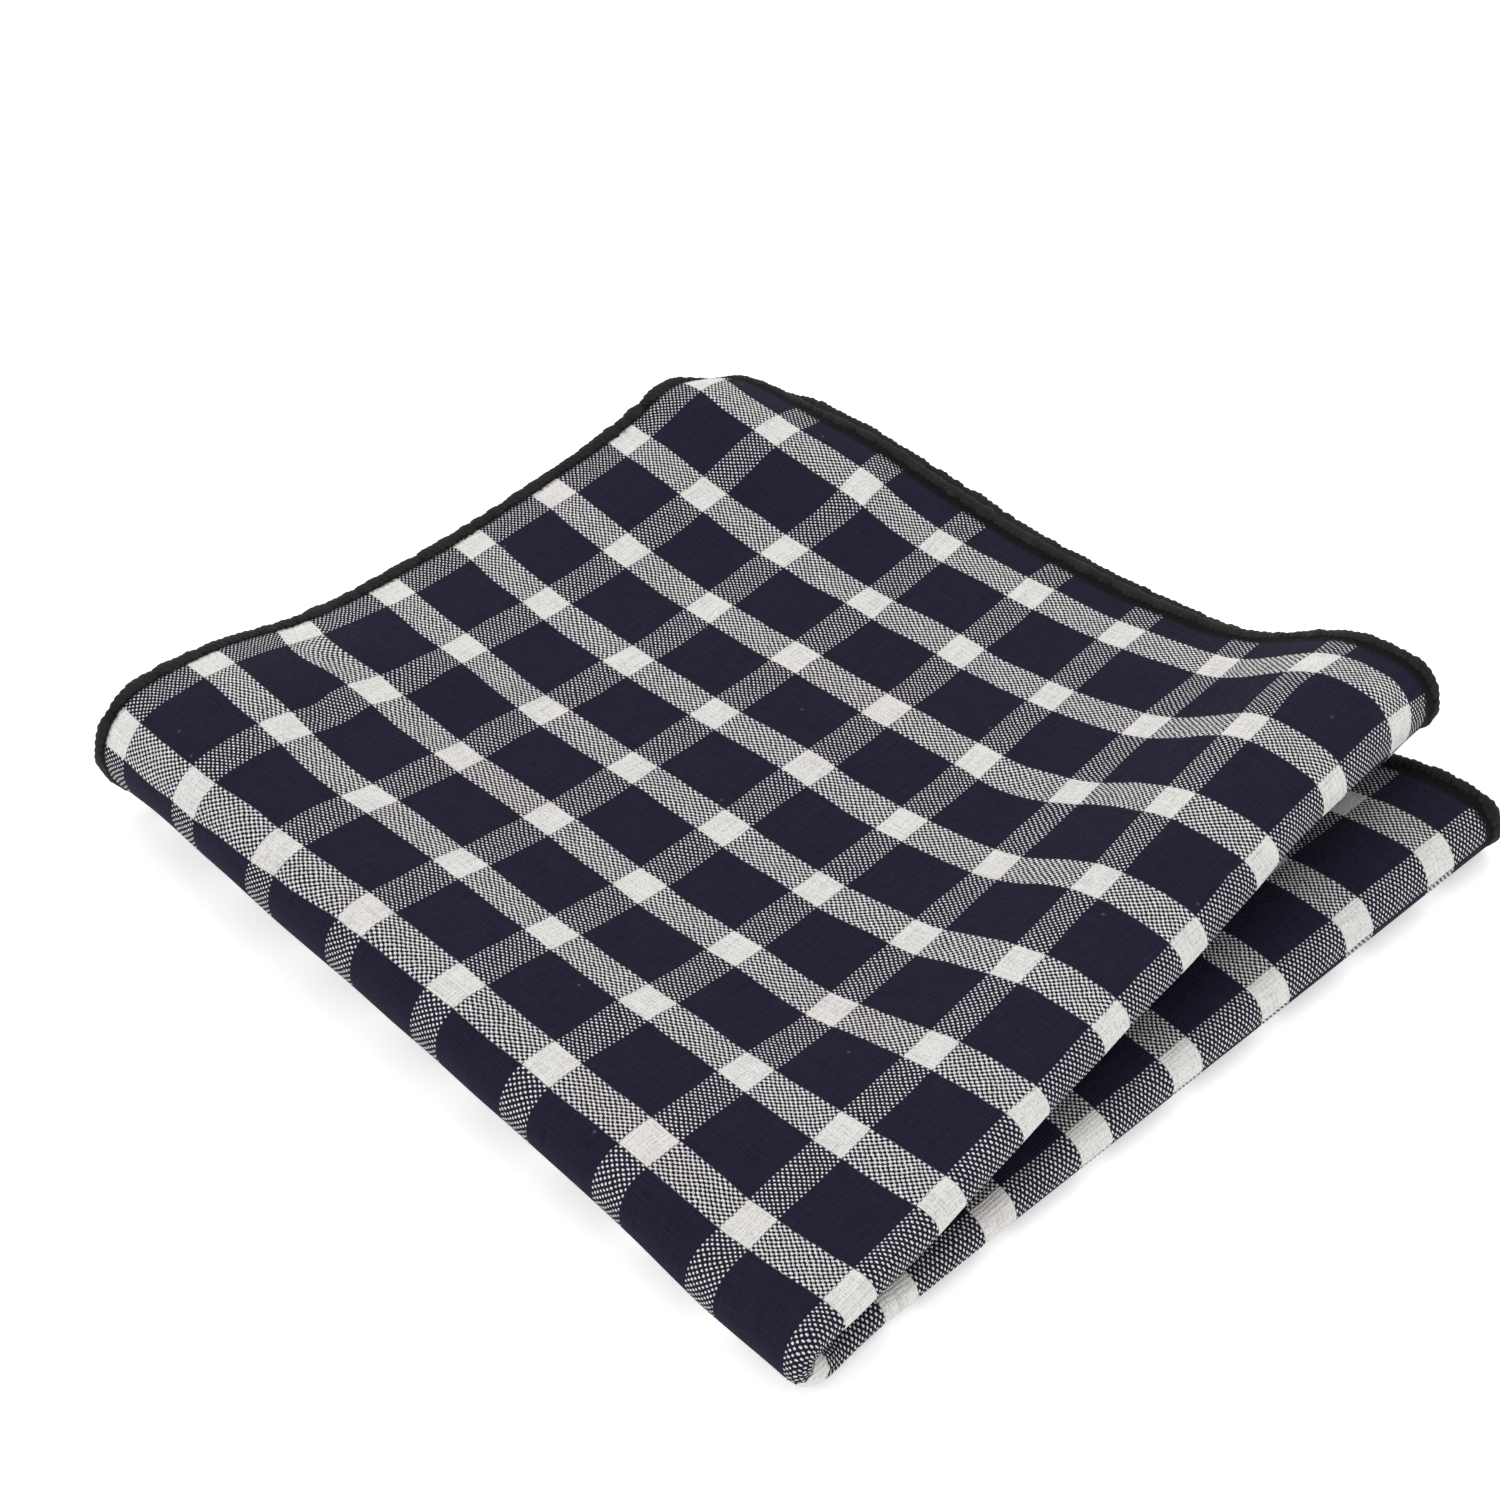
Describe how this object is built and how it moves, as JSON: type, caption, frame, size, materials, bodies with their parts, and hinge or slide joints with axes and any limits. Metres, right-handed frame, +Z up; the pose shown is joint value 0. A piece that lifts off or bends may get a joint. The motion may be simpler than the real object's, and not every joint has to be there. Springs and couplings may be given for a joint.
{
  "type": "pocket square",
  "caption": "Square checked cotton cloth with an overlocked hem, folded in half and in half again, its loose layers lifting at one side.",
  "frame": {"origin": "centre of the folded cloth's bounding box at the surface it lies on", "axes": "+Z up; +X towards the first fold, with the two folded edges; +Y towards the loose hems; the second fold, the spine, lies at -Y"},
  "size_m": [0.127, 0.1204, 0.0202],
  "materials": {
    "cotton": "matte plain weave"
  },
  "bodies": {
    "root": {"cloth": "cotton"}
  },
  "joints": []
}
